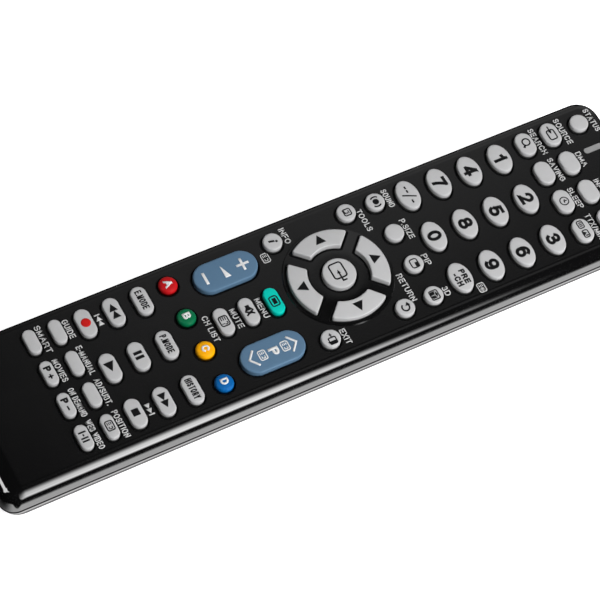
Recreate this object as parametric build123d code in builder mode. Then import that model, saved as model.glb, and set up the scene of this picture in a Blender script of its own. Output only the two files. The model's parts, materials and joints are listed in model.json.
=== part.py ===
from build123d import *
from math import cos, radians, sin, sqrt, tan
import os

os.makedirs("parts", exist_ok=True)

# Handheld infrared remote control, in millimetres. X runs across the face, +Y points to the
# infrared end and +Z out of the key face. The origin is under the middle of the back.

# Case
case_length = 212.0
case_width = 49.0
wall_thick = 1.8
plate_thick = 2.0            # the wall that the keys come through
front_corner = 6.5           # plan corner radius at the infrared end
rear_corner = 4.5            # plan corner radius at the battery end
shoulder_radius = 3.2        # rounding from the key face to the side wall
roll_length = 6.2            # the face rolls down over this length at the battery end
roll_drop = 0.9
back_draft = 15.0            # degrees that the lower walls lean inwards
back_radius = 8.0            # rounding from the lower walls to the flat back
back_bands = 6               # flats that make up that rounding
corner_spread = 0.5          # plan corners widen by this share of the way that the walls draw in
seam_groove = 0.25           # height of the shadow line between the two shells
groove_depth = 0.5
lap_gap = 0.2                # between the lower shell's tongue and what it slips behind

# What stands on what, from the back to the key face
cover_thick = 1.8
cover_gap = 0.2
cell_diameter = 10.5         # two AAA cells
cell_length = 44.5
cell_gap = 0.3
bay_wall = 1.1
board_gap = 0.2
board_thick = 1.2
sheet_thick = 0.8
key_travel = 0.9
travel_spare = 0.1
key_root = 0.8               # the part of a key that hangs below the plate
key_stand = 1.8              # the part of a key that stands above the face
seam_drop = 2.9              # the seam lies this far below the circuit board

floor_top = cover_thick + cover_gap
cell_z = cover_thick + cell_gap + cell_diameter / 2
bay_ceiling = cell_z + cell_diameter / 2 + cell_gap
bay_roof = bay_ceiling + bay_wall
board_bottom = bay_roof + board_gap
board_top = board_bottom + board_thick
sheet_top = board_top + sheet_thick
key_base = sheet_top + key_travel + travel_spare
plate_bottom = key_base + key_root
face_z = plate_bottom + plate_thick
key_top = face_z + key_stand
seam_z = board_bottom - seam_drop
front_end = case_length / 2
rear_end = -case_length / 2

# Keys, as width across the face by length along it
key_gap = 0.35               # between a key and its well
key_edge = 0.5               # softened top edge
dome_edge = 0.9              # the coloured keys are rounder on top
small_round = 5.6
colour_round = 5.4
source_key = (7.8, 5.3)
number_key = (9.8, 6.5)
menu_key_size = (8.7, 4.2)
play_key_size = (9.0, 4.6)
guide_key_size = (7.7, 3.7)
rocker_size = (9.3, 19.3)
ok_diameter = 9.7
ring_inner = 9.1             # radii of the four direction keys
ring_outer = 14.6
ring_gap = 4.2               # straight gap between neighbouring direction keys
ring_corner = 0.5
ring_edge = 0.4              # softened edge of their sloping tops
ring_rise = 0.2              # the direction keys' outer edges stand this far above the other keys
ring_fall = 0.4              # their tops fall by this from the inner edge to the outer one
pad_radius = 16.0            # low dome that the direction keys come through
pad_edge = 0.25              # height of its bevelled border
pad_rise = 0.75              # height of its flat middle
pad_flat = 6.5               # radius of that flat

# Key columns, each as the inset from the case's side to the middle of its outermost keys
four_column_inset = 8.375
number_column_inset = 9.47
round_column_inset = 7.625
side_column_inset = 7.4
play_column_inset = 9.26
guide_column_inset = 8.525
rocker_column_inset = 10.45
first_row_side_inset = 8.3

# Key rows, each as the step down from the row before it
first_row_inset = 8.5        # from the infrared end
source_row_step = 9.9
search_row_step = 8.7
number_row_start = 9.5
number_row_step = 10.3
picture_row_step = 9.9
tools_row_step = 9.4
ring_row_step = 11.75
info_row_step = 12.05
menu_row_step = 8.7
menu_step = 7.85
colour_row_step = 16.45      # from the rockers' middle
mode_row_step = 8.9
play_row_step = 8.58
guide_row_step = 8.05
smart_row_step = 7.65

first_row = front_end - first_row_inset
source_row = first_row - source_row_step
search_row = source_row - search_row_step
number_row = search_row - number_row_start
picture_row = number_row - 3 * number_row_step - picture_row_step
tools_row = picture_row - tools_row_step
ring_row = tools_row - ring_row_step
info_row = ring_row - info_row_step
menu_row = info_row - menu_row_step
rocker_row = menu_row - menu_step
colour_row = rocker_row - colour_row_step
mode_row = colour_row - mode_row_step
guide_row = mode_row - 2 * play_row_step - guide_row_step
smart_row = guide_row - smart_row_step

# Windows
indicator_column = -7.4
indicator_width = 2.0
indicator_length = 6.5
window_width = 22.0
window_height = 4.2
flange_reach = 0.6
flange_thick = 0.8
trim_gap = 0.1
led_z = (board_bottom + board_top) / 2
lap_height = led_z - window_height / 2 - lap_gap - seam_z

# Circuit board and keypad sheet
board_side_gap = 1.7         # from the side walls
board_front_gap = 5.0        # from the infrared end
board_rear_reach = 5.0       # past the last row of keys
board_corner = 3.0
led_notch_width = 9.0
led_notch_length = 10.0
sheet_inset = 0.5
peg_radius = 1.2
peg_gap = 0.4
board_width = case_width - 2 * (wall_thick + board_side_gap)
board_front = front_end - board_front_gap
board_rear = smart_row - board_rear_reach

# Battery bay and its sliding cover
bay_inset = 12.0             # from the battery end to the bay
cell_spacing = 0.6           # between the two cells
plus_room = 1.2              # between a cell's button and the bay's wall
minus_room = 4.0             # between a cell's flat end and the bay's wall
bay_width = 2 * cell_diameter + cell_spacing + 2 * cell_gap
bay_length = cell_length + plus_room + minus_room
bay_rear = rear_end + bay_inset
bay_front = bay_rear + bay_length
cell_column = (cell_diameter + cell_spacing) / 2
cover_width = 28.0
cover_overlap = 5.5          # the cover reaches this far past the bay
cover_fit = 0.15
cover_slide = 7.0            # travel before the cover lifts off
lip_height = 6.0             # the cover wraps up the battery end to here
ledge_thick = 1.2
cover_front = bay_front + cover_overlap
hook_length = 4.0
hook_stem = 0.9
hook_reach = 1.15
hook_thick = 0.8
hook_inset = 12.0            # first pair of hooks, from the cover's front edge
hook_step = 30.0
hook_column = cover_width / 2 - 0.35 - hook_stem / 2
grip_count = 5
grip_step = 1.8
grip_width = 0.8
grip_length = 12.0
grip_depth = 0.4
grip_inset = 5.0

# Cells' buttons and contacts
button_radius = 1.9
button_height = 1.0
contact_thick = 0.4
contact_width = 8.0
contact_height = 8.6
bridge_height = 5.0
dimple_gap = 0.2             # between a plate's dimple and the cell's button
leaf_gap = 0.3               # between a leaf's tip and the cell's flat end
leaf_rise = 3.4
leaf_flat = 1.2
leaf_width = 4.0
tail_width = 3.0

# Infrared diode, indicator and the parts under the board
led_radius = 2.5
led_length = 8.6
led_taper = 1.3
led_rim = 1.0
led_rim_reach = 0.4
led_gap = 0.3                # between the diode and the window
lead_width = 0.5
lead_overlap = 3.0
indicator_chip = (1.2, 2.0, 0.6)
chip_size = (7.5, 12.8, 2.2)
chip_lift = 0.2
chip_lead_step = 1.27
chip_lead_count = 8
chip_lead_drop = 1.2
resonator_size = (7.0, 3.2, 5.0)
capacitor_radius = 2.5
capacitor_height = 7.0
capacitor_edge = 0.4

# Ribs that carry the board
rib_thick = 1.2
rib_count = 4
rib_start = 12.0             # from the bay to the first rib
rib_end = 24.3               # from the last rib to the infrared end
rib_step = (front_end - rib_end - bay_front - rib_start) / (rib_count - 1)


def save(piece, name):
    """Label a finished piece and write it to its own file."""
    piece.part.label = name
    export_step(piece.part, f"parts/{name}.step")


def case_outline(height, inset):
    """The case seen from above at one height, moved in by inset all round."""
    with BuildSketch(Plane.XY.offset(height)) as outline:
        Rectangle(case_width - 2 * inset, case_length - 2 * inset)
        fillet(outline.vertices().group_by(Axis.Y)[-1], front_corner - inset)
        fillet(outline.vertices().group_by(Axis.Y)[0], rear_corner - inset)
    return outline.sketch


def back_section(height, inset, drawn_in):
    """The lower half at one height: walls in by inset and drawn_in, corners wider as they draw in."""
    widening = corner_spread * drawn_in - inset
    with BuildSketch(Plane.XY.offset(height)) as section:
        Rectangle(case_width - 2 * (inset + drawn_in), case_length - 2 * (inset + drawn_in))
        fillet(section.vertices().group_by(Axis.Y)[-1], front_corner + widening)
        fillet(section.vertices().group_by(Axis.Y)[0], rear_corner + widening)
    return section.sketch


def back_form(inset, floor, bands):
    """The lower half as one solid: leaning walls, then a rounding down to a flat at floor."""
    radius = back_radius - inset
    lean = radians(back_draft)
    wall_end = floor + radius * (1 - sin(lean))
    wall_draw = (seam_z - wall_end) * tan(lean)
    sections = [back_section(seam_z, inset, 0)]
    for i in range(bands + 1):
        turn = lean + (radians(90) - lean) * i / bands
        height = floor + radius * (1 - sin(turn))
        sections.append(back_section(height, inset, wall_draw + radius * (cos(lean) - cos(turn))))
    with BuildPart() as form:
        loft(sections, ruled=True)
    return form.part


def key_outline(kind, size, grow):
    """One key seen from above, grown by grow all round."""
    width, length = size[0] + 2 * grow, size[1] + 2 * grow
    if kind == "round":
        Circle(width / 2)
    elif kind == "oval":
        Ellipse(width / 2, length / 2)
    elif kind == "bar":
        SlotOverall(width, length)
    else:
        SlotOverall(length, width, rotation=90)


def ring_outline(grow):
    """The four direction keys seen from above: a ring cut by two crossed gaps."""
    with BuildSketch(Plane.XY.offset(key_base)) as ring:
        with Locations((0, ring_row)):
            Circle(ring_outer + grow)
            Circle(ring_inner - grow, mode=Mode.SUBTRACT)
            for turn in (45, -45):
                Rectangle(4 * ring_outer, ring_gap - 2 * grow, rotation=turn, mode=Mode.SUBTRACT)
        fillet(ring.vertices(), ring_corner + grow)
    return ring.sketch


def columns(count, inset):
    """Evenly spaced places across the face, the outermost ones inset from its sides."""
    reach = case_width / 2 - inset
    return [reach * (2 * i / (count - 1) - 1) for i in range(count)]


four_columns = columns(4, four_column_inset)
round_columns = columns(4, round_column_inset)
play_columns = columns(3, play_column_inset)
guide_columns = columns(4, guide_column_inset)
number_columns = columns(3, number_column_inset)
side_columns = columns(2, side_column_inset)
rocker_columns = columns(2, rocker_column_inset)
first_columns = columns(2, first_row_side_inset)
number_names = ["key_1", "key_2", "key_3", "key_4", "key_5", "key_6", "key_7", "key_8", "key_9",
                "dash_key", "key_0", "previous_channel_key"]
play_names = ["energy_mode_key", "picture_mode_key", "history_key", "rewind_key", "pause_key",
              "forward_key", "record_key", "play_key", "stop_key"]
round_size = (small_round, small_round)
colour_size = (colour_round, colour_round)

# Every key as its name, outline, size, softened edge and places
keys = [
    ("status_key", "round", round_size, key_edge, [(first_columns[0], first_row)]),
    ("power_key", "round", round_size, key_edge, [(first_columns[1], first_row)]),
    ("source_row_keys", "bar", source_key, key_edge, [(x, source_row) for x in four_columns]),
    ("search_row_keys", "bar", source_key, key_edge, [(x, search_row) for x in four_columns]),
    ("picture_row_keys", "round", round_size, key_edge, [(x, picture_row) for x in round_columns]),
    ("tools_key", "round", round_size, key_edge, [(side_columns[0], tools_row)]),
    ("return_key", "round", round_size, key_edge, [(side_columns[1], tools_row)]),
    ("info_key", "round", round_size, key_edge, [(side_columns[0], info_row)]),
    ("exit_key", "round", round_size, key_edge, [(side_columns[1], info_row)]),
    ("ok_key", "round", (ok_diameter, ok_diameter), key_edge, [(0, ring_row)]),
    ("menu_key", "bar", menu_key_size, key_edge, [(0, menu_row)]),
    ("mute_key", "bar", menu_key_size, key_edge, [(0, menu_row - menu_step)]),
    ("channel_list_key", "bar", menu_key_size, key_edge, [(0, menu_row - 2 * menu_step)]),
    ("volume_rocker", "tall", rocker_size, key_edge, [(rocker_columns[0], rocker_row)]),
    ("channel_rocker", "tall", rocker_size, key_edge, [(rocker_columns[1], rocker_row)]),
    ("red_key", "round", colour_size, dome_edge, [(round_columns[0], colour_row)]),
    ("green_key", "round", colour_size, dome_edge, [(round_columns[1], colour_row)]),
    ("yellow_key", "round", colour_size, dome_edge, [(round_columns[2], colour_row)]),
    ("blue_key", "round", colour_size, dome_edge, [(round_columns[3], colour_row)]),
    ("guide_row_keys", "bar", guide_key_size, key_edge, [(x, guide_row) for x in guide_columns]),
    ("smart_row_keys", "bar", guide_key_size, key_edge, [(x, smart_row) for x in guide_columns]),
]
for i, name in enumerate(number_names):
    place = (number_columns[i % 3], number_row - i // 3 * number_row_step)
    keys.append((name, "oval", number_key, key_edge, [place]))
for i, name in enumerate(play_names):
    place = (play_columns[i % 3], mode_row - i // 3 * play_row_step)
    keys.append((name, "bar", play_key_size, key_edge, [place]))

# Pegs run from the key plate down to the board, between the keys
peg_places = [
    (side * x, y)
    for side in (-1, 1)
    for x, y in [
        (number_columns[-1] / 2, (search_row + number_row) / 2),
        (play_columns[-1] / 2, (colour_row + mode_row) / 2),
    ]
]

# Keys
ring_low = key_top + ring_rise
ring_high = ring_low + ring_fall
for name, kind, size, edge, places in keys:
    top = ring_high if name == "ok_key" else key_top
    with BuildPart() as key:
        with BuildSketch(Plane.XY.offset(key_base)):
            with Locations(*places):
                key_outline(kind, size, 0)
        extrude(amount=top - key_base)
        chamfer(key.faces().group_by(Axis.Z)[-1].edges(), edge)
    save(key, name)

# The direction keys' tops are one cone about the ring's middle
ring_lean = (ring_outer - ring_inner) / ring_fall
for name, axis, end in [("up_key", Axis.Y, -1), ("down_key", Axis.Y, 0),
                        ("right_key", Axis.X, -1), ("left_key", Axis.X, 0)]:
    with BuildPart() as key:
        extrude(ring_outline(0).faces().sort_by(axis)[end], amount=ring_high - key_base)
        with Locations((0, ring_row, key_base)):
            Cone(ring_outer + (ring_low - key_base) * ring_lean, ring_inner,
                 ring_high - key_base, align=(Align.CENTER, Align.CENTER, Align.MIN),
                 mode=Mode.INTERSECT)
        chamfer(key.faces().sort_by(Axis.Z)[-1].edges(), ring_edge)
    save(key, name)

# Upper shell: the key plate, its shoulders and the upper side walls
roll_radius = (roll_length**2 + roll_drop**2) / (2 * roll_drop)
roll_start = rear_end + roll_length
past_end = roll_length + 1.0
with BuildPart() as upper_case:
    extrude(case_outline(seam_z + seam_groove, 0), amount=face_z - seam_z - seam_groove)
    with BuildSketch(Plane.YZ):
        with BuildLine():
            fall = roll_radius - sqrt(roll_radius**2 - past_end**2)
            low = (roll_start - past_end, face_z - fall)
            TangentArc((roll_start, face_z), low, tangent=(-1, 0))
            Polyline(low, (low[0], key_top), (roll_start, key_top), (roll_start, face_z))
        make_face()
    extrude(amount=case_width, both=True, mode=Mode.SUBTRACT)
    rim = [e for f in upper_case.faces().sort_by(Axis.Z)[-2:] for e in f.edges()
           if abs(e.center().X) > shoulder_radius or abs(abs(e.center().Y) - front_end) < 0.01]
    fillet(rim, shoulder_radius)
    extrude(case_outline(seam_z, groove_depth), amount=seam_groove)
    extrude(case_outline(seam_z, wall_thick), amount=plate_bottom - seam_z, mode=Mode.SUBTRACT)
    extrude(case_outline(seam_z, wall_thick / 2), amount=lap_height + lap_gap / 2,
            mode=Mode.SUBTRACT)
    with Locations((0, ring_row, face_z)):
        Cone(pad_radius, pad_radius - pad_edge, pad_edge, align=(Align.CENTER, Align.CENTER, Align.MIN))
    with Locations((0, ring_row, face_z + pad_edge)):
        Cone(pad_radius - pad_edge, pad_flat, pad_rise - pad_edge,
             align=(Align.CENTER, Align.CENTER, Align.MIN))
    with BuildSketch(Plane.XY.offset(plate_bottom)) as wells:
        for name, kind, size, edge, places in keys:
            with Locations(*places):
                key_outline(kind, size, key_gap)
        add(ring_outline(key_gap))
        with Locations((indicator_column, first_row)):
            SlotOverall(indicator_length, indicator_width, rotation=90)
    extrude(amount=plate_thick + pad_rise, mode=Mode.SUBTRACT)
    with Locations((0, front_end, led_z)):
        Box(window_width, 4 * wall_thick, window_height, mode=Mode.SUBTRACT)
    with Locations(*[(x, y, board_top) for x, y in peg_places]):
        Cylinder(peg_radius, plate_bottom - board_top, align=(Align.CENTER, Align.CENTER, Align.MIN))
save(upper_case, "upper_case")

# Windows in the upper shell: the lens over the indicator, and the smoked infrared window
with BuildPart() as indicator_lens:
    with BuildSketch(Plane.XY.offset(plate_bottom)):
        with Locations((indicator_column, first_row)):
            SlotOverall(indicator_length - 2 * trim_gap, indicator_width - 2 * trim_gap, rotation=90)
    extrude(amount=plate_thick)
    with BuildSketch(Plane.XY.offset(plate_bottom)):
        with Locations((indicator_column, first_row)):
            SlotOverall(indicator_length + 2 * flange_reach, indicator_width + 2 * flange_reach,
                        rotation=90)
    extrude(amount=-flange_thick)
save(indicator_lens, "indicator_lens")

with BuildPart() as ir_window:
    with BuildSketch(Plane.XZ.offset(-front_end)):
        with Locations((0, led_z)):
            Rectangle(window_width - 2 * trim_gap, window_height - 2 * trim_gap)
    extrude(amount=wall_thick)
    with BuildSketch(Plane.XZ.offset(wall_thick - front_end)):
        with Locations((0, led_z)):
            Rectangle(window_width + 2 * flange_reach, window_height + 2 * flange_reach)
    extrude(amount=flange_thick)
save(ir_window, "ir_window")

# Lower shell: rounded back, tongue behind the seam, ribs under the board and the battery bay
lip_top = lip_height + cover_fit
cover_rear = bay_rear - bay_wall
pocket_width = cover_width + 2 * cover_fit
liner_width = pocket_width + 2 * ledge_thick
on_floor = (Align.CENTER, Align.MIN, Align.MIN)

with BuildPart() as lower_room:
    add(back_form(wall_thick / 2, floor_top / 2, 2))
    extrude(case_outline(seam_z, wall_thick + lap_gap), amount=board_bottom - seam_z)

with BuildPart() as inner_walls:
    with Locations((0, rear_end, 0)):
        Box(liner_width, cover_front + ledge_thick - rear_end, floor_top + ledge_thick, align=on_floor)
        Box(liner_width, cover_rear - rear_end, lip_top + ledge_thick, align=on_floor)
    with Locations((0, cover_rear, 0)):
        Box(bay_width + 2 * bay_wall, bay_length + 2 * bay_wall, bay_roof, align=on_floor)
    with Locations(*[(0, bay_front + rib_start + i * rib_step, 0) for i in range(rib_count)]):
        Box(case_width, rib_thick, board_bottom, align=on_floor)
    add(lower_room.part, mode=Mode.INTERSECT)

hook_places = [
    (side, cover_front - hook_inset - i * hook_step) for side in (-1, 1) for i in range(2)
]
slot_reach = hook_stem / 2 + cover_fit
with BuildPart() as lower_case:
    add(back_form(0, 0, back_bands))
    add(back_form(wall_thick, floor_top, back_bands // 2), mode=Mode.SUBTRACT)
    extrude(case_outline(seam_z, (wall_thick + lap_gap) / 2), amount=lap_height)
    extrude(case_outline(seam_z, wall_thick), amount=lap_height, mode=Mode.SUBTRACT)
    add(inner_walls.part)
    with Locations((0, rear_end, 0)):
        Box(pocket_width, cover_front + cover_fit - rear_end, floor_top, align=on_floor,
            mode=Mode.SUBTRACT)
        Box(pocket_width, cover_rear - rear_end, lip_top, align=on_floor, mode=Mode.SUBTRACT)
    with Locations((0, bay_rear, 0)):
        Box(bay_width, bay_length, bay_ceiling, align=on_floor, mode=Mode.SUBTRACT)
    # The hooks' stems slide along a narrow slot and drop out through its wide end
    for side, y in hook_places:
        with BuildSketch(Plane.XY.offset(floor_top)):
            with Locations((side * hook_column, y - cover_slide / 2)):
                Rectangle(2 * slot_reach, hook_length + cover_slide + 2 * cover_fit)
            with Locations((side * (hook_column + hook_reach / 2), y - cover_slide)):
                Rectangle(2 * slot_reach + hook_reach, hook_length + 2 * cover_fit)
        extrude(amount=ledge_thick, mode=Mode.SUBTRACT)
    # Slots in the bay's roof for the contacts' tails
    with Locations(*[(x, bay_front, bay_ceiling) for x in (-cell_column, cell_column)]):
        Box(tail_width + 2 * trim_gap, 2 * (contact_thick + trim_gap), board_bottom - bay_ceiling,
            align=(Align.CENTER, Align.CENTER, Align.MIN), mode=Mode.SUBTRACT)
save(lower_case, "lower_case")

# Battery cover: a plate flush in the back that wraps up the battery end and slides off it
with BuildPart() as battery_cover:
    add(back_form(0, 0, back_bands))
    add(back_form(cover_thick, cover_thick, back_bands // 2), mode=Mode.SUBTRACT)
    with Locations((0, rear_end, 0)):
        Box(cover_width, cover_front - rear_end, lip_height, align=on_floor, mode=Mode.INTERSECT)
    hook_floor = floor_top + ledge_thick + cover_fit
    for side, y in hook_places:
        with Locations((side * hook_column, y, cover_thick)):
            Box(hook_stem, hook_length, hook_floor + hook_thick - cover_thick,
                align=(Align.CENTER, Align.CENTER, Align.MIN))
        with Locations((side * (hook_column + hook_reach / 2), y, hook_floor)):
            Box(hook_stem + hook_reach, hook_length, hook_thick,
                align=(Align.CENTER, Align.CENTER, Align.MIN))
    with BuildSketch() as grip:
        with Locations(*[(0, cover_front - grip_inset - i * grip_step) for i in range(grip_count)]):
            Rectangle(grip_length, grip_width)
    extrude(amount=grip_depth, mode=Mode.SUBTRACT)
save(battery_cover, "battery_cover")

# Two cells, lying opposite ways
cell_start = {-1: bay_rear + minus_room, 1: bay_rear + plus_room}
with BuildPart() as battery_cells:
    for side in (-1, 1):
        base, tip = cell_start[side], cell_start[side] + cell_length
        if side == 1:
            base, tip = tip, base
        way = (tip - base) / cell_length
        shoulder = tip - way * button_height
        with BuildSketch(Plane.XY.offset(cell_z)):
            with BuildLine():
                x = side * cell_column
                Polyline((x, base), (x + cell_diameter / 2, base), (x + cell_diameter / 2, shoulder),
                         (x + button_radius, shoulder), (x + button_radius, tip), (x, tip),
                         close=True)
            make_face()
        revolve(axis=Axis((side * cell_column, 0, cell_z), (0, 1, 0)))
save(battery_cells, "battery_cells")


def leaf(wall, way):
    """A springy strip seen from the side: out from the bay's end wall to the cell and back."""
    with BuildSketch(Plane.YZ) as strip:
        with BuildLine():
            root, tip = wall + way * contact_thick / 2, wall + way * (minus_room - leaf_gap)
            Polyline((root, cell_z - leaf_rise), (tip, cell_z - leaf_flat), (tip, cell_z + leaf_flat),
                     (root, cell_z + leaf_rise))
        trace(line_width=contact_thick)
    return strip.sketch


# Contacts: a bridge across the two cells at the rear, two tailed plates at the front
with BuildPart() as battery_contacts:
    for wall, way in [(bay_rear, 1), (bay_front, -1)]:
        middle = wall + way * contact_thick / 2
        for side in (-1, 1):
            with Locations((side * cell_column, middle, cell_z)):
                Box(contact_width, contact_thick, contact_height)
            if side == way:
                with Locations((side * cell_column, wall + way * (plus_room - dimple_gap) / 2, cell_z)):
                    Cylinder(button_radius, plus_room - dimple_gap, rotation=(90, 0, 0))
            else:
                extrude(leaf(wall, way).moved(Location((side * cell_column, 0, 0))),
                        amount=leaf_width / 2, both=True)
    with Locations((0, bay_rear + contact_thick / 2, cell_z)):
        Box(2 * cell_column, contact_thick, bridge_height)
    tail_root = cell_z + contact_height / 2
    with Locations(*[(x, bay_front - contact_thick / 2, tail_root) for x in (-cell_column, cell_column)]):
        Box(tail_width, contact_thick, board_bottom - tail_root,
            align=(Align.CENTER, Align.CENTER, Align.MIN))
save(battery_contacts, "battery_contacts")

# Circuit board on the ribs, with a notch in its front edge for the infrared diode
board_length = board_front - board_rear
notch_end = board_front - led_notch_length


def board_outline(inset, notch_length):
    """Board or sheet seen from above, moved in by inset, with the diode's notch."""
    with BuildSketch() as outline:
        with Locations((0, (board_front + board_rear) / 2)):
            RectangleRounded(board_width - 2 * inset, board_length - 2 * inset, board_corner - inset)
        with Locations((0, board_front)):
            Rectangle(led_notch_width, 2 * notch_length, mode=Mode.SUBTRACT)
    return outline.sketch


with BuildPart() as circuit_board:
    extrude(board_outline(0, led_notch_length).moved(Location((0, 0, board_bottom))), amount=board_thick)
save(circuit_board, "circuit_board")

with BuildPart() as keypad_sheet:
    sheet_notch = led_notch_length + lead_overlap + sheet_inset
    extrude(board_outline(sheet_inset, sheet_notch).moved(Location((0, 0, board_top))),
            amount=sheet_thick)
    with Locations(*[(x, y, board_top) for x, y in peg_places + [(indicator_column, first_row)]]):
        Cylinder(peg_radius + peg_gap, sheet_thick, mode=Mode.SUBTRACT,
                 align=(Align.CENTER, Align.CENTER, Align.MIN))
save(keypad_sheet, "keypad_sheet")

# Infrared diode, its axis level with the middle of the board's edge
led_tip = front_end - wall_thick - flange_thick - led_gap
led_base = led_tip - led_length
with BuildPart() as infrared_led:
    with BuildSketch(Plane.YZ):
        with BuildLine():
            outside, rim = led_z + led_radius, led_z + led_radius + led_rim_reach
            Polyline((led_tip, led_z), (led_tip, outside - led_taper), (led_tip - led_taper, outside),
                     (led_base + led_rim, outside), (led_base + led_rim, rim), (led_base, rim),
                     (led_base, led_z), close=True)
        make_face()
    revolve(axis=Axis((0, 0, led_z), (0, 1, 0)))
    for side in (-1, 1):
        with Locations((0, notch_end - lead_overlap, led_z + side * (board_thick + lead_width) / 2)):
            Box(lead_width, led_base - notch_end + lead_overlap, lead_width,
                align=(Align.CENTER, Align.MIN, Align.CENTER))
save(infrared_led, "infrared_led")

with BuildPart() as indicator_led:
    with Locations((indicator_column, first_row, board_top)):
        Box(*indicator_chip, align=(Align.CENTER, Align.CENTER, Align.MIN))
save(indicator_led, "indicator_led")


def between_ribs(first):
    """The middle of the space between one rib and the next."""
    return bay_front + rib_start + (first + 0.5) * rib_step


# Components that hang under the board
hang_down = (Align.CENTER, Align.CENTER, Align.MAX)
with BuildPart() as controller_chip:
    with Locations((0, between_ribs(1), board_bottom - chip_lift)):
        Box(*chip_size, align=hang_down)
    for side in (-1, 1):
        with Locations((side * (chip_size[0] + lead_width) / 2, between_ribs(1), board_bottom)):
            with GridLocations(1, chip_lead_step, 1, chip_lead_count):
                Box(3 * lead_width, lead_width, chip_lead_drop, align=hang_down)
save(controller_chip, "controller_chip")

with BuildPart() as resonator:
    with Locations((chip_size[0] + resonator_size[0], between_ribs(1), board_bottom)):
        Box(*resonator_size, align=hang_down)
    fillet(resonator.edges().filter_by(Axis.Z), resonator_size[1] / 2.5)
save(resonator, "resonator")

with BuildPart() as capacitor:
    with Locations((0, between_ribs(0), board_bottom)):
        Cylinder(capacitor_radius, capacitor_height, align=hang_down)
    chamfer(capacitor.edges().sort_by(Axis.Z)[0], capacitor_edge)
save(capacitor, "capacitor")
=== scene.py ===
import json
from math import ceil, pi, radians

import bmesh
import bpy
import numpy as np
from mathutils import Matrix, Vector

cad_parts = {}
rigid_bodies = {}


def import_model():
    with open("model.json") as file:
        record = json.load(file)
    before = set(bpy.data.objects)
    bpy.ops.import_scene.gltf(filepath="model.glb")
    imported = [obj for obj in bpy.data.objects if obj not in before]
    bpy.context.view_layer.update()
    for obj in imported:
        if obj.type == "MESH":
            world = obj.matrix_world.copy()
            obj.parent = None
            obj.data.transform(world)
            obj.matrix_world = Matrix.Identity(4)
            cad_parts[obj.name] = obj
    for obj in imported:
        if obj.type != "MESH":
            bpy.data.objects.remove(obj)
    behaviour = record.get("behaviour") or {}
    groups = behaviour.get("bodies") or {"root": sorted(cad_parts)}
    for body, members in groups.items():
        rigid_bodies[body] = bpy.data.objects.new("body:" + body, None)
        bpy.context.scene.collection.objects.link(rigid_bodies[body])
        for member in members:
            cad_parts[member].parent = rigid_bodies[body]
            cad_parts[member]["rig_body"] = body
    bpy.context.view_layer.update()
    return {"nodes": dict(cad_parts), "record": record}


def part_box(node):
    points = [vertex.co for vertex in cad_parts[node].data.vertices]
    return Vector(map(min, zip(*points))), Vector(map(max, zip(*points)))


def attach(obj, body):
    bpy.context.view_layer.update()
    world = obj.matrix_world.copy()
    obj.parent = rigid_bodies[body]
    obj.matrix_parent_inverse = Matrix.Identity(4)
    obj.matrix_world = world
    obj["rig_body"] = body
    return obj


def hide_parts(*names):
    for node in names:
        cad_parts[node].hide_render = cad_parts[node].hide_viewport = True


mm = 0.001

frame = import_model()
scene = bpy.context.scene
cadNodes = frame["nodes"]
slotOf = {part["node"]: part["material_slot"] for part in frame["record"]["subparts"]}
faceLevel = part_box("indicator_lens")[1].z   # the flat that the keys come through
print("frame loaded,", len(cadNodes), "nodes")


# Shader sums

class Wire:                                  # an output socket that can be used in sums
    def __init__(self, finish, socket):
        self.finish = finish
        self.socket = socket

    def __add__(self, other):
        return self.finish.sum("ADD", self, other)

    def __sub__(self, other):
        return self.finish.sum("SUBTRACT", self, other)

    def __rsub__(self, other):
        return self.finish.sum("SUBTRACT", other, self)

    def __mul__(self, other):
        return self.finish.sum("MULTIPLY", self, other)

    __radd__ = __add__
    __rmul__ = __mul__

    def over(self, edge, width):             # 0 below edge, 1 above edge + width, soft between
        return self.finish.node("MapRange", {"interpolation_type": "SMOOTHSTEP"},
                                {"Value": self, "From Min": edge, "From Max": edge + width})


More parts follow.
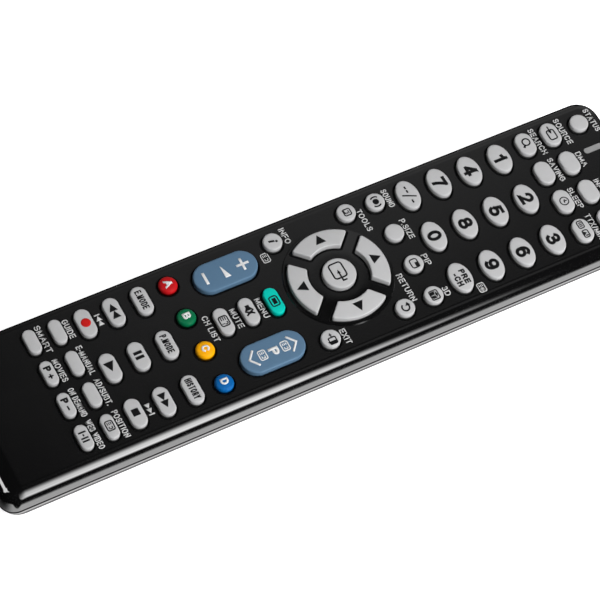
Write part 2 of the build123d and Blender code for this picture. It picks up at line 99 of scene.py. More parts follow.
class Finish:                                # the nodes of one material or world
    def __init__(self, owner):
        self.owner = owner
        owner.use_nodes = True
        self.tree = owner.node_tree
        self.tree.nodes.clear()

    def node(self, kind, settings=None, values=None, output=0):
        made = self.tree.nodes.new("ShaderNode" + kind)
        for name, value in (settings or {}).items():
            setattr(made, name, value)
        for name, value in (values or {}).items():
            if isinstance(value, Wire):
                self.tree.links.new(value.socket, made.inputs[name])
            else:
                made.inputs[name].default_value = value
        return None if output is None else Wire(self, made.outputs[output])

    def sum(self, operation, first, second):
        return self.node("Math", {"operation": operation}, {0: first, 1: second})

    def outputs(self, kind, values=None):    # all of a node's outputs, by name
        sockets = self.node(kind, values=values).socket.node.outputs
        return {socket.name: Wire(self, socket) for socket in sockets}

    def place(self):                         # the point on the object, in metres
        return self.node("TexCoord", output="Object")

    def axes(self, point=None):              # a point as three numbers
        parts = self.outputs("SeparateXYZ", values={0: point or self.place()})
        return parts["X"], parts["Y"], parts["Z"]

    def noise(self, size, detail=3.0):
        return self.node("TexNoise", values={"Vector": self.place(), "Scale": 1 / size,
                                             "Detail": detail, "Roughness": 0.55})

    def grain(self, size):                   # small round pits and bumps
        return self.node("TexVoronoi", {"feature": "SMOOTH_F1"},
                         {"Vector": self.place(), "Scale": 1 / size, "Smoothness": 0.8})

    def blend(self, amount, first, second):  # from first to second, as colours
        mix = self.node("Mix", {"data_type": "RGBA"})
        inputs = mix.socket.node.inputs
        for socket, value in zip((inputs[0], inputs[6], inputs[7]), (amount, first, second)):
            if isinstance(value, Wire):
                self.tree.links.new(value.socket, socket)
            else:
                socket.default_value = value if socket is inputs[0] else (*value, 1)
        return Wire(self, mix.socket.node.outputs[2])

    def bump(self, height, depth):
        return self.node("Bump", values={"Height": height, "Distance": depth, "Strength": 1.0})

    def surface(self, **values):             # the main shader, joined to the output
        shader = self.node("BsdfPrincipled", values={
            name.replace("_", " "): (*value, 1) if isinstance(value, tuple) else value
            for name, value in values.items()})
        self.node("OutputMaterial", values={"Surface": shader}, output=None)
        return self.owner


# Finishes

def newFinish(name):
    return Finish(bpy.data.materials.new(name))


caseLook = {
    "face": (0.0026, 0.0026, 0.0028), "faceMottle": (0.0042, 0.0042, 0.0044), "cloudy": 0.06,
    "flatHalfWidth": 22.4 * mm,              # past this the face turns glossy
    "rearEdge": -100.6 * mm, "frontEdge": 104.0 * mm, "softness": 0.5 * mm,
    "frontDepth": 4.0 * mm,                  # how far down the front end stays satin
    "satin": 0.15, "gloss": 0.07, "coatRoughness": 0.04, "coatIndex": 2.0, "cloudSize": 14 * mm,
    "grainSize": 0.22 * mm, "grainDepth": 0.006 * mm, "seamDull": 0.7,
    "seam": (10.75 * mm, 12.05 * mm),        # lowest and highest point of its dull strip
    "seamEdge": 0.02 * mm,
}
backLook = {                                 # glossy beside the seam, grained underneath
    "glossFrom": 8.0 * mm, "softness": 1.0 * mm, "satin": 0.45, "cloudSize": 12 * mm,
    "grainSize": 0.28 * mm, "grainDepth": 0.012 * mm, "seamDull": 0.4,
}


def shellBlack(f, look, glossy, groove):
    # Piano black where glossy is 1, grained satin where it is 0, and dull where groove is 1.
    cloud = f.noise(look["cloudSize"], 4.0)
    grain = f.grain(look["grainSize"])
    roughness = glossy * (caseLook["gloss"] - look["satin"]) + look["satin"] + groove * look["seamDull"]
    return f.surface(Base_Color=f.blend(cloud, caseLook["face"], caseLook["faceMottle"]), IOR=1.5,
                     Roughness=roughness + (cloud - 0.5) * caseLook["cloudy"], Coat_Weight=glossy,
                     Coat_Roughness=caseLook["coatRoughness"], Coat_IOR=caseLook["coatIndex"],
                     Normal=f.bump(grain * (1 - glossy), look["grainDepth"]))


def caseBlack():
    look = caseLook
    f = newFinish("case_black")
    x, y, z = f.axes()
    across = f.node("Math", {"operation": "ABSOLUTE"}, {0: x})
    shoulder = across.over(look["flatHalfWidth"], look["softness"])
    rear = 1 - y.over(look["rearEdge"] - look["softness"], look["softness"])
    edge = f.sum("MAXIMUM", shoulder, rear)
    front = y.over(look["frontEdge"], look["softness"]) * z.over(faceLevel - look["frontDepth"], mm)
    groove = z.over(look["seam"][0], look["seamEdge"]) * (1 - z.over(look["seam"][1], look["seamEdge"]))
    return shellBlack(f, look, edge * (1 - front) * (1 - groove), groove)


def backBlack():
    f = newFinish("back_black")
    z = f.axes()[2]
    groove = z.over(caseLook["seam"][0], caseLook["seamEdge"])
    glossy = z.over(backLook["glossFrom"], backLook["softness"]) * (1 - groove)
    return shellBlack(f, backLook, glossy, groove)


def mottled(colour, share):                  # the colour a little darker, and a little lighter
    return tuple(c * (1 - share) for c in colour), tuple(min(1.0, c * (1 + share)) for c in colour)


def plainPlastic(name, colour, roughness, grainSize, grainDepth, mottle=0.25):
    f = newFinish(name)
    cloud = f.noise(9 * mm, 4.0)
    grain = f.grain(grainSize)
    return f.surface(Base_Color=f.blend(cloud, *mottled(colour, mottle)), IOR=1.5,
                     Roughness=(cloud - 0.5) * 0.15 + roughness,
                     Normal=f.bump(grain, grainDepth))


# The last two entries: how far up the painted shade at the keys' feet fades out, and how much of the colour
# it leaves.
keyCoatAndShade = {"roughness": 0.45, "mottle": 0.035, "paintedShadeFade": 0.75 * mm, "paintedShadeShare": 0.10}


def softTouch(name, colour, roughness=keyCoatAndShade["roughness"], mottle=keyCoatAndShade["mottle"], paintedShadeBelow=None):
    # Coated silicone: faint cloudiness and fine bloom. When a height is given, the colour below it is a
    # painted shade standing in for the shade in the wells at the keys' feet, fading up to the key's own
    # colour.
    f = newFinish(name)
    cloud = f.noise(2.2 * mm, 4.0)
    fine = f.noise(0.16 * mm, 2.0)
    base = f.blend(cloud, *mottled(colour, mottle))
    if paintedShadeBelow:
        dark = tuple(c * keyCoatAndShade["paintedShadeShare"] for c in colour)
        base = f.blend(f.axes()[2].over(paintedShadeBelow, keyCoatAndShade["paintedShadeFade"]), dark, base)
    return f.surface(Base_Color=base, IOR=1.45, Specular_IOR_Level=0.3,
                     Roughness=(fine - 0.5) * 0.16 + roughness,
                     Normal=f.bump(fine, 0.006 * mm))


def ink(name, colour, roughness=0.55):       # printed ink, of slightly uneven cover
    f = newFinish(name)
    speck = f.noise(0.12 * mm, 2.0)
    thin = tuple(c * 0.86 for c in colour)
    return f.surface(Base_Color=f.blend(speck, thin, colour), Specular_IOR_Level=0.25,
                     Roughness=(speck - 0.5) * 0.2 + roughness, Normal=f.bump(speck, 0.003 * mm))


def smokedWindow():
    f = newFinish("smoked_window")
    cloud = f.noise(6 * mm)
    return f.surface(Base_Color=f.blend(cloud, (0.012, 0.002, 0.003), (0.03, 0.004, 0.005)),
                     Roughness=(cloud - 0.5) * 0.04 + 0.08, Coat_Weight=1.0, Coat_Roughness=0.03)


def milkyLens():
    f = newFinish("indicator_grey")
    cloud = f.noise(1.5 * mm)
    return f.surface(Base_Color=f.blend(cloud, (0.25, 0.25, 0.25), (0.33, 0.33, 0.33)),
                     Roughness=cloud * 0.1 + 0.16, Normal=f.bump(f.noise(0.5 * mm), 0.01 * mm))


def boardGreen():                            # solder mask over squared copper tracks
    f = newFinish("board_green")
    tracks = f.node("TexBrick", {"offset": 0.5, "squash": 0.6, "squash_frequency": 3},
                    {"Vector": f.place(), "Scale": 260.0, "Mortar Size": 0.02, "Brick Width": 0.9,
                     "Row Height": 0.5}, output=1)
    cloud = f.noise(20 * mm)
    base = f.blend(cloud, (0.014, 0.10, 0.03), (0.02, 0.14, 0.045))
    return f.surface(Base_Color=f.blend(tracks, base, (0.05, 0.24, 0.09)), Roughness=cloud * 0.1 + 0.3,
                     Normal=f.bump(tracks, 0.02 * mm))


cellLook = {"shift": 2.0 * mm, "halfPitch": 23.5 * mm, "band": 3.0 * mm, "softness": 0.1 * mm}


def cellJacket():                            # dark printed jacket with a bare band at the button end
    f = newFinish("cell_jacket")
    cloud = f.noise(3 * mm)
    along = f.node("Math", {"operation": "PINGPONG"},
                   {0: f.axes()[1] + cellLook["shift"], 1: cellLook["halfPitch"]})
    bare = 1 - along.over(cellLook["band"], cellLook["softness"])
    colour = f.blend(bare, (0.035, 0.037, 0.04), (0.62, 0.62, 0.60))
    return f.surface(Base_Color=colour, Metallic=bare * 0.9 + 0.1, Roughness=cloud * 0.12 + 0.24)


def springSteel():                           # drawn strip with fine lines along its length
    f = newFinish("contact_metal")
    lines = f.node("TexWave", {"bands_direction": "Z"},
                   {"Vector": f.place(), "Scale": 4000.0, "Distortion": 1.5, "Detail": 2.0})
    cloud = f.noise(2 * mm)
    return f.surface(Base_Color=f.blend(cloud, (0.50, 0.49, 0.45), (0.62, 0.61, 0.57)), Metallic=1.0,
                     Roughness=lines * 0.12 + 0.22, Normal=f.bump(lines, 0.002 * mm))


def clearEpoxy():
    f = newFinish("diode_clear")
    cloud = f.noise(2 * mm)
    return f.surface(Base_Color=f.blend(cloud, (0.55, 0.60, 0.70), (0.68, 0.72, 0.80)),
                     Roughness=cloud * 0.06 + 0.06, Coat_Weight=1.0, Coat_Roughness=0.03)


slateDrop = 0.6 * mm                         # the rockers' foot, and the painted shade over it, lie this much lower
keyColours = {
    "key_grey": (0.50, 0.50, 0.505), "key_slate": (0.096, 0.180, 0.280), "key_teal": (0.0, 0.56, 0.46),
    "key_red": (0.50, 0.007, 0.010), "key_green": (0.001, 0.145, 0.055), "key_yellow": (0.96, 0.42, 0.001),
    "key_blue": (0.001, 0.115, 0.38),
}
# Each key's colour, with painted shade below the face where the wells are shaded.
finishes = {name: softTouch(name, colour, paintedShadeBelow=faceLevel - (slateDrop if name == "key_slate" else 0))
            for name, colour in keyColours.items()}
finishes.update({
    "case_black": caseBlack(),
    "back_black": backBlack(),
    "sheet_silicone": softTouch("sheet_silicone", (0.05, 0.05, 0.052), 0.6, 0.12),
    "component_black": plainPlastic("component_black", (0.016, 0.016, 0.017), 0.5, 0.12 * mm, 0.008 * mm),
    "resonator_blue": plainPlastic("resonator_blue", (0.02, 0.12, 0.42), 0.22, 0.9 * mm, 0.02 * mm, 0.1),
    "smoked_window": smokedWindow(), "indicator_grey": milkyLens(), "board_green": boardGreen(),
    "cell_jacket": cellJacket(), "contact_metal": springSteel(), "diode_clear": clearEpoxy(),
})
inksAndShade = {
    "black": ink("ink_black", (0.004, 0.004, 0.0045)),
    # painted shade for the rings round the wells, made like an ink
    "shade": ink("well_shade", (0.0012, 0.0012, 0.0013), 0.8),
    "white": ink("ink_white", (0.80, 0.80, 0.80)),
    "label": ink("ink_label", (0.66, 0.66, 0.66)),
    "red": ink("ink_red", (0.60, 0.012, 0.010)),
}
print("finishes made")

for name, node in cadNodes.items():
    node.data.materials.clear()
    node.data.materials.append(finishes[slotOf[name]])


# Meshes

def addPiece(name, points, faces, material, body):   # points in metres, in the part's frame
    mesh = bpy.data.meshes.new(name)
    mesh.from_pydata(points.tolist(), [], faces)
    mesh.materials.append(material)
    piece = bpy.data.objects.new(name, mesh)
    scene.collection.objects.link(piece)
    piece.data.shade_smooth()
    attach(piece, body)
    return piece


def gridFaces(rows, columns, closed):        # quads of a grid whose points run row by row
    r, c = np.mgrid[0:rows - 1, 0:columns if closed else columns - 1]
    ahead = (c + 1) % columns
    quads = np.stack([r * columns + c, r * columns + ahead, (r + 1) * columns + ahead,
                      (r + 1) * columns + c], -1)
    return quads.reshape(-1, 4).tolist()


def mergeDoubles(piece):
    distance = 0.002 * mm
    shape = bmesh.new()
    shape.from_mesh(piece.data)
    bmesh.ops.remove_doubles(shape, verts=shape.verts, dist=distance)
    bmesh.ops.dissolve_degenerate(shape, edges=shape.edges, dist=distance)
    shape.to_mesh(piece.data)
    shape.free()


# Shells: copies of the solids' meshes, merged, with normals that follow the roundings

shellLook = {"within": radians(32), "merge": 0.001 * mm, "normalSteps": 500, "levelStep": 0.02 * mm}


def dressedShell(node, name):
    # Each corner's normal is the sum of the normals of the triangles round it that turn from its own by
    # less than within, each weighted by the squared area of the flat that it belongs to. A flat is the
    # triangles whose normal and level round to the same steps.
    shape = bmesh.new()
    shape.from_mesh(cadNodes[node].data)
    bmesh.ops.remove_doubles(shape, verts=shape.verts, dist=shellLook["merge"])
    bmesh.ops.triangulate(shape, faces=shape.faces)
    mesh = bpy.data.meshes.new(name)
    shape.to_mesh(mesh)
    shape.free()
    count = len(mesh.polygons)
    points = np.empty(len(mesh.vertices) * 3)
    mesh.vertices.foreach_get("co", points)
    points = points.reshape(-1, 3)
    corners = np.empty(count * 3, int)
    mesh.loops.foreach_get("vertex_index", corners)
    triangles = points[corners.reshape(-1, 3)]
    cross = np.cross(triangles[:, 1] - triangles[:, 0], triangles[:, 2] - triangles[:, 0])
    area = np.linalg.norm(cross, axis=1) / 2
    normal = cross / np.maximum(2 * area, 1e-15)[:, None]
    level = (normal * triangles[:, 0]).sum(1)
    flats = np.round(np.c_[normal * shellLook["normalSteps"], level / shellLook["levelStep"]]).astype(int)
    group = np.unique(flats, axis=0, return_inverse=True)[1].ravel()
    weight = np.bincount(group, area)[group] ** 2
    order = np.argsort(corners, kind="stable")
    starts = np.searchsorted(corners[order], np.arange(len(points) + 1))
    valence = np.diff(starts)[corners]       # triangles round each corner's point
    mine = np.repeat(np.arange(count * 3), valence)
    step = np.arange(len(mine)) - np.repeat(np.cumsum(valence) - valence, valence)
    theirs = order[np.repeat(starts[corners], valence) + step] // 3
    near = (normal[mine // 3] * normal[theirs]).sum(1) > np.cos(shellLook["within"])
    share = np.where(near, weight[theirs], 0.0)
    total = np.stack([np.bincount(mine, share * normal[theirs, i]) for i in range(3)], 1)
    total /= np.maximum(np.linalg.norm(total, axis=1), 1e-30)[:, None]
    mesh.shade_smooth()
    mesh.normals_split_custom_set(total.tolist())
    mesh.materials.clear()
    mesh.materials.append(finishes[slotOf[node]])
    piece = bpy.data.objects.new(name, mesh)
    scene.collection.objects.link(piece)
    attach(piece, cadNodes[node]["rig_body"])
    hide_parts(node)


for node in ("upper_case", "lower_case", "battery_cover"):
    dressedShell(node, node + "_skin")
print("shells dressed")


# Keys

keyLook = {
    "plain": {"edge": 0.45 * mm, "crown": 0.10 * mm},
    "colour": {"edge": 0.80 * mm, "crown": 0.38 * mm},
    "rocker": {"edge": 0.50 * mm, "crown": 0.12 * mm},
    "number": {"edge": 0.45 * mm, "crown": 0.16 * mm},
    "ring": {"edge": 0.40 * mm, "crown": 0.05 * mm, "corner": 0.5 * mm, "fall": 0.4 * mm,
             "inner": 9.1 * mm, "gap": 4.2 * mm},
    "sunk": 0.03 * mm,                       # leaves room for the ink under the solids' tops
    "foot": 0.5 * mm,                        # height of the row of points above the base
    "apart": 0.1 * mm,                       # least gap between two solids of one node
}
fullTurn = (np.arange(96) + 0.5) / 96 * 2 * pi   # the points round an oval or a bar
keyKinds = {                                 # outline and look of each key node
    "round": ["status_key", "power_key", "picture_row_keys", "tools_key", "return_key", "info_key",
              "exit_key", "ok_key"],
    "bar": ["source_row_keys", "search_row_keys", "menu_key", "mute_key", "channel_list_key",
            "energy_mode_key", "picture_mode_key", "history_key", "rewind_key", "pause_key",
            "forward_key", "record_key", "play_key", "stop_key", "guide_row_keys", "smart_row_keys"],
    "colour": ["red_key", "green_key", "yellow_key", "blue_key"],
    "number": ["key_" + str(i) for i in range(10)] + ["dash_key", "previous_channel_key"],
    "tall": ["volume_rocker", "channel_rocker"],
}
lookOfKind = {"round": "plain", "bar": "plain", "colour": "colour", "number": "number", "tall": "rocker"}


def solidSpans(node):                        # (middle, half size) of each of a node's solids, from above
    mesh = cadNodes[node].data
    points = np.empty(len(mesh.vertices) * 3)
    mesh.vertices.foreach_get("co", points)
    corners = np.empty(len(mesh.loops), int)
    mesh.loops.foreach_get("vertex_index", corners)
    triangles = points.reshape(-1, 3)[corners].reshape(-1, 3, 3)
    low, high = triangles.min(1), triangles.max(1)
    order = np.argsort(low[:, 0])
    reach = np.maximum.accumulate(high[order, 0])
    cuts = np.nonzero(low[order[1:], 0] > reach[:-1] + keyLook["apart"])[0] + 1
    spans = []
    for part in np.split(order, cuts):
        a, b = low[part].min(0), high[part].max(0)
        spans.append(((a + b) / 2, (b - a) / 2))
    return spans


class Key:                                   # one key's outline and domed top
    def __init__(self, kind, look, middle, half, base, top):
        self.kind, self.middle, self.half = kind, middle, half
        self.edge, self.crown = look["edge"], look["crown"]
        self.base, self.top = base, top
        self.depth = min(half)               # from the edge to the middle line

    def ring(self, inward):                  # the outline, moved in by inward
        # An oval shrinks by the same length on both axes; a bar is a half circle at each end of a
        # line, with the half circles' radius shrinking.
        turn = fullTurn
        a, b = self.half[0] - inward, self.half[1] - inward
        if self.kind in ("round", "colour", "number"):
            return np.stack([a * np.cos(turn), b * np.sin(turn)], -1)
        r = np.minimum(a, b)
        x = r * np.cos(turn) + (a - r) * np.sign(np.round(np.cos(turn), 6))
        y = r * np.sin(turn) + (b - r) * np.sign(np.round(np.sin(turn), 6))
        return np.stack([x, y], -1)

    def inwardOf(self, x, y):                # how far inside the edge a point lies
        a, b = self.half
        if self.kind not in ("round", "colour", "number"):
            r = min(a, b)
            reach = np.hypot(np.maximum(abs(x) - (a - r), 0), np.maximum(abs(y) - (b - r), 0))
            return np.clip(r - reach, 0, self.depth)
        low, high = np.zeros_like(x), np.full_like(x, self.depth)
        tiny, halvings = 1e-9, 24
        for _ in range(halvings):
            middle = (low + high) / 2
            outside = (x / (a - middle + tiny)) ** 2 + (y / (b - middle + tiny)) ** 2 > 1
            high, low = np.where(outside, middle, high), np.where(outside, low, middle)
        return low

    def height(self, inward):
        # The crown is a parabola to the middle and the edge a quarter circle; their drops add up.
        rest = np.clip(self.edge - inward, 0, None)
        rounding = self.edge - np.sqrt(np.maximum(self.edge**2 - rest**2, 0))
        return self.top - keyLook["sunk"] - self.crown * (1 - inward / self.depth) ** 2 - rounding

    def lift(self, x, y):                    # height of the top over a point seen from the middle
        return self.height(self.inwardOf(x, y))

    def steps(self):                         # (inward, height) of each row of points
        bend = self.edge * (1 - np.cos(np.linspace(0, pi / 2, 9)))
        inner = self.edge + (self.depth - self.edge) * np.linspace(0, 1, 7)[1:]
        inward = np.r_[bend, inner]
        return [(self.depth, self.base), (0.0, self.base), (0.0, self.base + keyLook["foot"]),
                *zip(inward, self.height(inward))]

    def surface(self):
        rows = [np.c_[self.ring(d) + self.middle, np.full(len(fullTurn), z)] for d, z in self.steps()]
        return np.vstack(rows), gridFaces(len(rows), len(fullTurn), True)


class RingKey(Key):                          # a direction key: a quarter of a ring, before it is turned
    def __init__(self, look, middle, outer, quarter, base, top):
        self.look, self.middle, self.inner, self.outer = look, middle, look["inner"], outer
        self.edge, self.crown, self.base, self.top = look["edge"], look["crown"], base, top
        self.depth = (self.outer - self.inner) / 2
        turned = quarter * pi / 2
        self.turn = np.array([[np.cos(turned), np.sin(turned)], [-np.sin(turned), np.cos(turned)]])

    def ring(self, inward):
        return self.quarter(inward) @ self.turn

    def quarter(self, inward):
        # Two arcs about the ring's middle, two straight ends along its diagonals and four rounded
        # corners, all moved in alike. The corners' radius falls to nothing at the middle line.
        inner, outer = self.inner + inward, self.outer - inward
        r = self.look["corner"] * (1 - inward / self.depth)
        aside = self.look["gap"] / 2 + inward + r    # of the corners' middles, from the diagonal
        along, across = np.array([1, 1]) / 2**0.5, np.array([-1, 1]) / 2**0.5
        far = np.sqrt((outer - r) ** 2 - aside**2) * along + aside * across
        near = np.sqrt((inner + r) ** 2 - aside**2) * along + aside * across
        farTurn, nearTurn = np.arctan2(far[1], far[0]), np.arctan2(near[1], near[0])

        def sweep(middle, radius, start, end, count):
            angle = np.linspace(start, end, count)
            return middle + radius * np.stack([np.cos(angle), np.sin(angle)], -1)

        low = sweep(near, r, nearTurn - pi, -pi / 4, 7)
        high = sweep(far, r, -pi / 4, farTurn, 7)
        mirror = np.array([-1, 1])
        return np.vstack([low, high, sweep((0, 0), outer, farTurn, pi - farTurn, 31)[1:-1],
                          (high * mirror)[::-1], (low * mirror)[::-1],
                          sweep((0, 0), inner, pi - nearTurn, nearTurn, 31)[1:-1]])

    def slope(self, x, y):                   # the tops are one cone about the ring's middle
        return self.look["fall"] * (np.hypot(x, y) - self.inner) / (self.outer - self.inner)

    def lift(self, x, y):
        p = np.stack([x, y], -1) @ self.turn.T
        reach = np.hypot(x, y)
        ends = (p[:, 1] - abs(p[:, 0])) / 2**0.5 - self.look["gap"] / 2
        inward = np.minimum(np.minimum(self.outer - reach, reach - self.inner), ends)
        return self.height(np.clip(inward, 0, self.depth)) - self.slope(x, y)

    def surface(self):
        rows = []
        for inward, z in self.steps():
            flat = self.ring(inward)
            tilt = self.slope(*flat.T) if z > self.base + mm else 0 * flat[:, 0]
            rows.append(np.c_[flat + self.middle, z - tilt])
        return np.vstack(rows), gridFaces(len(rows), len(rows[0]), True)


keysOf = {}                                  # node to its Key objects, left to right
for kind, names in keyKinds.items():
    for name in names:
        low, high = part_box(name)
        keysOf[name] = [Key(kind, keyLook[lookOfKind[kind]], middle[:2], half[:2], low.z, high.z)
                        for middle, half in solidSpans(name)]

ringMiddle = keysOf["ok_key"][0].middle
ringOuter = (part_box("up_key")[1].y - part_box("down_key")[0].y) / 2
ringNames = ["up_key", "left_key", "down_key", "right_key"]   # each a quarter turn on from the last
for quarter, name in enumerate(ringNames):
    keysOf[name] = [RingKey(keyLook["ring"], ringMiddle, ringOuter, quarter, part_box(name)[0].z,
                            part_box("ok_key")[1].z)]

for name, keys in keysOf.items():
    points, faces = [], []
    for key in keys:
        p, f = key.surface()
        faces += (np.array(f) + sum(len(q) for q in points)).tolist()
        points.append(p)
    cap = addPiece(name + "_cap", np.vstack(points), faces, finishes[slotOf[name]], name)
    mergeDoubles(cap)
    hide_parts(name)
print("keys shaped,", sum(len(k) for k in keysOf.values()))


# Legends: strokes, patches and letters in millimetres, then laid on the surface they are printed on

inkSize = {"thick": 0.05 * mm, "cell": 0.6, "step": 0.5, "gap": 0.20}   # gap between letters, in heights


def stroke(points, width=0.34, closed=False, band=None):
    # A ribbon: each point of the path moved half a width to both sides along the mitred normal. With
    # a band (lowest, highest), ends that reach it are cut level with it and others grow half a width.
    path = np.array(points, float)
    if closed:
        path = np.vstack([path, path[:1]])
    parts = [path[:1]]
    for a, b in zip(path, path[1:]):
        n = max(1, ceil(np.hypot(*(b - a)) / inkSize["step"]))
        parts.append(a + (b - a) * (np.arange(1, n + 1)[:, None] / n))
    path = np.vstack(parts)
    if closed:
        path = path[:-1]
        before, after = path - np.roll(path, 1, 0), np.roll(path, -1, 0) - path
    else:
        steps = np.diff(path, axis=0)
        before, after = np.vstack([steps[:1], steps]), np.vstack([steps, steps[-1:]])
    sides = [np.stack([-d[:, 1], d[:, 0]], -1) / np.hypot(d[:, 0], d[:, 1])[:, None]
             for d in (before, after)]
    mitre = (sides[0] + sides[1]) / (1 + (sides[0] * sides[1]).sum(1))[:, None]
    edges = np.vstack([path - mitre * width / 2, path + mitre * width / 2])
    if band and not closed:
        n = len(path)
        for end, out in ((0, path[0] - path[1]), (n - 1, path[-1] - path[-2])):
            out = out / np.hypot(*out)
            level = [y for y, way in zip(band, (-1, 1))
                     if abs(path[end, 1] - y) < 0.6 * width and out[1] * way > 0.3]
            for i in (end, end + n):
                edges[i] += out * ((level[0] - edges[i, 1]) / out[1] if level else width / 2)
    return edges, gridFaces(2, len(path), closed)


def patch(a, b, c, d):                       # four corners, joined by straight lines both ways
    a, b, c, d = (np.array(p, float) for p in (a, b, c, d))
    n = max(2, ceil(max(np.hypot(*(b - a)), np.hypot(*(c - b)), np.hypot(*(d - a))) / inkSize["cell"]) + 1)
    u, v = (m[..., None] for m in np.meshgrid(np.linspace(0, 1, n), np.linspace(0, 1, n)))
    return ((1 - u) * (1 - v) * a + u * (1 - v) * b + u * v * c + (1 - u) * v * d).reshape(-1, 2), \
        gridFaces(n, n, False)


def disc(x, y, r):                           # rings from the edge to the middle
    turn = np.arange(32) / 32 * 2 * pi
    rows = [np.stack([x + k * r * np.cos(turn), y + k * r * np.sin(turn)], -1) for k in (1, 0.66, 0.33, 0)]
    return np.vstack(rows), gridFaces(4, 32, True)


def arc(x, y, r, start, end, count=20):      # points on a circle, angles in degrees
    turn = np.radians(np.linspace(start, end, count))
    return np.stack([x + r * np.cos(turn), y + r * np.sin(turn)], -1)


def circle(x, y, r, width=0.3):
    return stroke(arc(x, y, r, 0, 360, 33)[:-1], width, True)


def roundBox(x, y, w, h, r=0.6):             # closed outline with quarter-circle corners
    corners = [(1, 1, 0), (-1, 1, 90), (-1, -1, 180), (1, -1, 270)]
    return np.vstack([arc(x + i * (w / 2 - r), y + j * (h / 2 - r), r, a, a + 90, 6)
                      for i, j, a in corners])


def boxLine(x, y, w, h, width=0.3, r=0.6):
    return stroke(roundBox(x, y, w, h, r), width, True)


def bar(x, y, w, h):
    return patch(*((x + i * w / 2, y + j * h / 2) for i, j in ((-1, -1), (1, -1), (1, 1), (-1, 1))))


def triangle(x, y, w, h, turn=0):            # pointing up before it is turned by quarters
    points = np.array([(-w / 2, -h / 2), (w / 2, -h / 2), (0, h / 2)])
    c, s = [(1, 0), (0, 1), (-1, 0), (0, -1)][turn]
    points = points @ np.array([[c, s], [-s, c]]) + (x, y)
    return patch(points[0], points[1], points[2], points[2])


def bow(x, y, a, b, start, end, count=15):   # points on an ellipse, angles in degrees
    turn = np.radians(np.linspace(start, end, count))
    return [(x + a * np.cos(t), y + b * np.sin(t)) for t in turn]


ring8 = bow(0.5, 0.5, 0.5, 0.5, 0, 345, 24)
